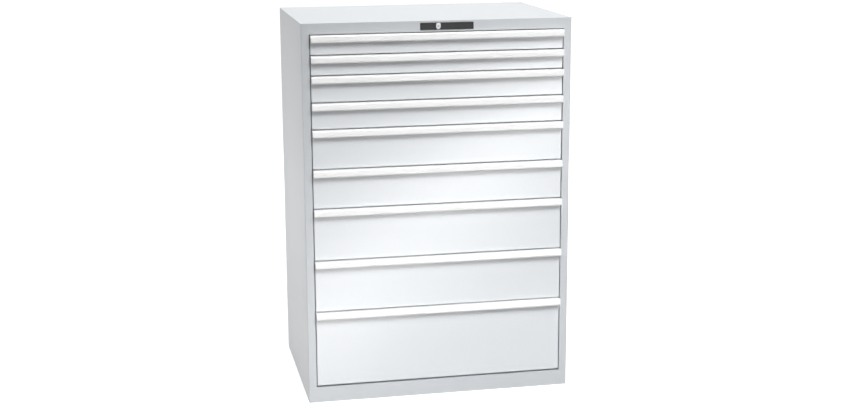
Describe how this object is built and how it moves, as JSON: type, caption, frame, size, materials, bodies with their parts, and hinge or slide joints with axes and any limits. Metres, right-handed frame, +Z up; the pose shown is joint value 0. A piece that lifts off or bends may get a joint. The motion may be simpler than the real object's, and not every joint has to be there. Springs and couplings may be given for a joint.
{
  "type": "drawer cabinet",
  "caption": "Free-standing sheet-steel drawer cabinet with full-width drawers of mixed height on telescopic slides, strip grips and a central lock in the top rail.",
  "frame": {"origin": "bottom centre of the overall box, on the floor under the middle of the cabinet with its grips", "axes": "+X to the right seen from the front, the front faces -Y and the drawers open towards -Y, +Z up"},
  "size_m": [1.023, 0.747, 1.45],
  "materials": {
    "housing_paint": "satin powder coat, light grey",
    "front_paint": "satin powder coat, near white",
    "grip_paint": "glossy white coat on an aluminium extrusion",
    "tray_paint": "satin powder coat, light grey",
    "zinc_steel": "zinc-plated",
    "lock_plastic": "fine-grained black",
    "lock_metal": "satin chrome"
  },
  "bodies": {
    "cabinet": {"side_panel_right": "housing_paint", "side_panel_left": "housing_paint", "top_panel": "housing_paint", "rear_panel": "housing_paint", "floor_pan": "housing_paint", "top_rail": "housing_paint", "uprights": "zinc_steel", "cabinet_rails_right": "zinc_steel", "cabinet_rails_left": "zinc_steel", "lock_plate": "lock_plastic", "lock_shield": "lock_metal"},
    "drawer_1": {"drawer_tray_1": "tray_paint", "drawer_front_1": "front_paint", "grip_bar_1": "grip_paint", "drawer_rails_1": "zinc_steel"},
    "slide_1": {"slide_members_1": "zinc_steel"},
    "drawer_2": {"drawer_tray_2": "tray_paint", "drawer_front_2": "front_paint", "grip_bar_2": "grip_paint", "drawer_rails_2": "zinc_steel"},
    "slide_2": {"slide_members_2": "zinc_steel"},
    "drawer_3": {"drawer_tray_3": "tray_paint", "drawer_front_3": "front_paint", "grip_bar_3": "grip_paint", "drawer_rails_3": "zinc_steel"},
    "slide_3": {"slide_members_3": "zinc_steel"},
    "drawer_4": {"drawer_tray_4": "tray_paint", "drawer_front_4": "front_paint", "grip_bar_4": "grip_paint", "drawer_rails_4": "zinc_steel"},
    "slide_4": {"slide_members_4": "zinc_steel"},
    "drawer_5": {"drawer_tray_5": "tray_paint", "drawer_front_5": "front_paint", "grip_bar_5": "grip_paint", "drawer_rails_5": "zinc_steel"},
    "slide_5": {"slide_members_5": "zinc_steel"},
    "drawer_6": {"drawer_tray_6": "tray_paint", "drawer_front_6": "front_paint", "grip_bar_6": "grip_paint", "drawer_rails_6": "zinc_steel"},
    "slide_6": {"slide_members_6": "zinc_steel"},
    "drawer_7": {"drawer_tray_7": "tray_paint", "drawer_front_7": "front_paint", "grip_bar_7": "grip_paint", "drawer_rails_7": "zinc_steel"},
    "slide_7": {"slide_members_7": "zinc_steel"},
    "drawer_8": {"drawer_tray_8": "tray_paint", "drawer_front_8": "front_paint", "grip_bar_8": "grip_paint", "drawer_rails_8": "zinc_steel"},
    "slide_8": {"slide_members_8": "zinc_steel"},
    "drawer_9": {"drawer_tray_9": "tray_paint", "drawer_front_9": "front_paint", "grip_bar_9": "grip_paint", "drawer_rails_9": "zinc_steel"},
    "slide_9": {"slide_members_9": "zinc_steel"},
    "lock_core": {"lock_cylinder": "lock_metal", "lock_cam": "zinc_steel"},
    "lock_link": {"lock_rod": "zinc_steel"},
    "lock_lift": {"lock_bar": "zinc_steel"}
  },
  "joints": [
    {"name": "drawer_1_slide", "type": "slide", "parent": "cabinet", "child": "drawer_1", "axis": [0, -1, 0], "range_m": [0, 0.62]},
    {"name": "slide_1_extend", "type": "slide", "parent": "cabinet", "child": "slide_1", "axis": [0, -1, 0], "range_m": [0, 0.31]},
    {"name": "drawer_2_slide", "type": "slide", "parent": "cabinet", "child": "drawer_2", "axis": [0, -1, 0], "range_m": [0, 0.62]},
    {"name": "slide_2_extend", "type": "slide", "parent": "cabinet", "child": "slide_2", "axis": [0, -1, 0], "range_m": [0, 0.31]},
    {"name": "drawer_3_slide", "type": "slide", "parent": "cabinet", "child": "drawer_3", "axis": [0, -1, 0], "range_m": [0, 0.62]},
    {"name": "slide_3_extend", "type": "slide", "parent": "cabinet", "child": "slide_3", "axis": [0, -1, 0], "range_m": [0, 0.31]},
    {"name": "drawer_4_slide", "type": "slide", "parent": "cabinet", "child": "drawer_4", "axis": [0, -1, 0], "range_m": [0, 0.62]},
    {"name": "slide_4_extend", "type": "slide", "parent": "cabinet", "child": "slide_4", "axis": [0, -1, 0], "range_m": [0, 0.31]},
    {"name": "drawer_5_slide", "type": "slide", "parent": "cabinet", "child": "drawer_5", "axis": [0, -1, 0], "range_m": [0, 0.62]},
    {"name": "slide_5_extend", "type": "slide", "parent": "cabinet", "child": "slide_5", "axis": [0, -1, 0], "range_m": [0, 0.31]},
    {"name": "drawer_6_slide", "type": "slide", "parent": "cabinet", "child": "drawer_6", "axis": [0, -1, 0], "range_m": [0, 0.62]},
    {"name": "slide_6_extend", "type": "slide", "parent": "cabinet", "child": "slide_6", "axis": [0, -1, 0], "range_m": [0, 0.31]},
    {"name": "drawer_7_slide", "type": "slide", "parent": "cabinet", "child": "drawer_7", "axis": [0, -1, 0], "range_m": [0, 0.62]},
    {"name": "slide_7_extend", "type": "slide", "parent": "cabinet", "child": "slide_7", "axis": [0, -1, 0], "range_m": [0, 0.31]},
    {"name": "drawer_8_slide", "type": "slide", "parent": "cabinet", "child": "drawer_8", "axis": [0, -1, 0], "range_m": [0, 0.62]},
    {"name": "slide_8_extend", "type": "slide", "parent": "cabinet", "child": "slide_8", "axis": [0, -1, 0], "range_m": [0, 0.31]},
    {"name": "drawer_9_slide", "type": "slide", "parent": "cabinet", "child": "drawer_9", "axis": [0, -1, 0], "range_m": [0, 0.62]},
    {"name": "slide_9_extend", "type": "slide", "parent": "cabinet", "child": "slide_9", "axis": [0, -1, 0], "range_m": [0, 0.31]},
    {"name": "key_turn", "type": "hinge", "parent": "cabinet", "child": "lock_core", "pos_m": [-0.0015, -0.3515, 1.4295], "axis": [0, 1, 0], "range_deg": [0, 90]},
    {"name": "lock_rod_shift", "type": "slide", "parent": "cabinet", "child": "lock_link", "axis": [1, 0, 0], "range_m": [0, 0.0075]},
    {"name": "lock_bar_lift", "type": "slide", "parent": "cabinet", "child": "lock_lift", "axis": [0, 0, 1], "range_m": [0, 0.0075]}
  ],
  "couplings": [
    {"joint": "slide_1_extend", "follows": "drawer_1_slide", "ratio": 0.5},
    {"joint": "slide_2_extend", "follows": "drawer_2_slide", "ratio": 0.5},
    {"joint": "slide_3_extend", "follows": "drawer_3_slide", "ratio": 0.5},
    {"joint": "slide_4_extend", "follows": "drawer_4_slide", "ratio": 0.5},
    {"joint": "slide_5_extend", "follows": "drawer_5_slide", "ratio": 0.5},
    {"joint": "slide_6_extend", "follows": "drawer_6_slide", "ratio": 0.5},
    {"joint": "slide_7_extend", "follows": "drawer_7_slide", "ratio": 0.5},
    {"joint": "slide_8_extend", "follows": "drawer_8_slide", "ratio": 0.5},
    {"joint": "slide_9_extend", "follows": "drawer_9_slide", "ratio": 0.5},
    {"joint": "lock_rod_shift", "follows": "lock_bar_lift", "ratio": 1},
    {"joint": "key_turn", "follows": "lock_bar_lift", "rad_per_m": 209.43}
  ]
}
